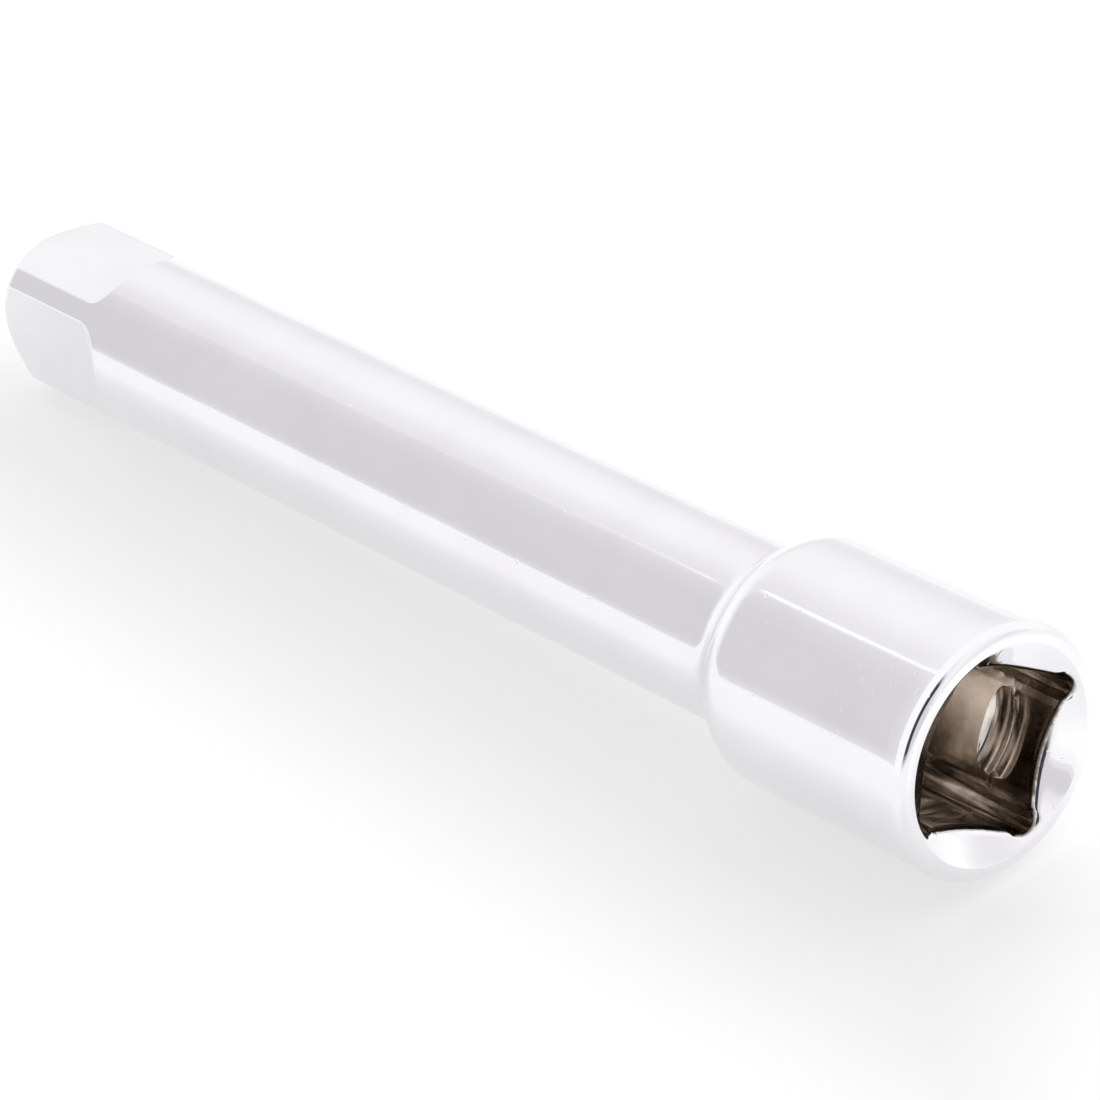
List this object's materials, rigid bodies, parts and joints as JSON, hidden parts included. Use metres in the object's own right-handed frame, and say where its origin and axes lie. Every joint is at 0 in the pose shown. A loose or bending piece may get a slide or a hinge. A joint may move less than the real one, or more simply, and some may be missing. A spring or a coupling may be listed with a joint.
{
  "type": "socket extension bar",
  "caption": "Chrome socket extension bar with a square-drive socket head, a round shank and a drive square with a spring-loaded retaining ball.",
  "frame": {"origin": "centre of the socket's mouth, on the plane of its face and on the bar's axis", "axes": "+X along the bar's axis and out of the socket's mouth, so the drive square is at -X; +Z is the outward normal of one flat of the drive square, and the retaining ball is in the opposite flat, facing -Z"},
  "size_m": [0.127, 0.0218, 0.0218],
  "materials": {
    "chrome_plate": "bright chrome plate over forged steel, bare steel inside the socket",
    "ball_steel": "polished hardened steel",
    "spring_wire": "drawn spring wire, oiled"
  },
  "bodies": {
    "bar": {"bar_body": "chrome_plate", "detent_spring": "spring_wire"},
    "ball": {"detent_ball": "ball_steel"}
  },
  "joints": [
    {"name": "ball_press", "type": "slide", "parent": "bar", "child": "ball", "axis": [0, 0, 1], "range_m": [0, 0.001], "stiffness_N_per_m": 2500, "springref_m": -0.001, "deforming": ["detent_spring"]}
  ]
}
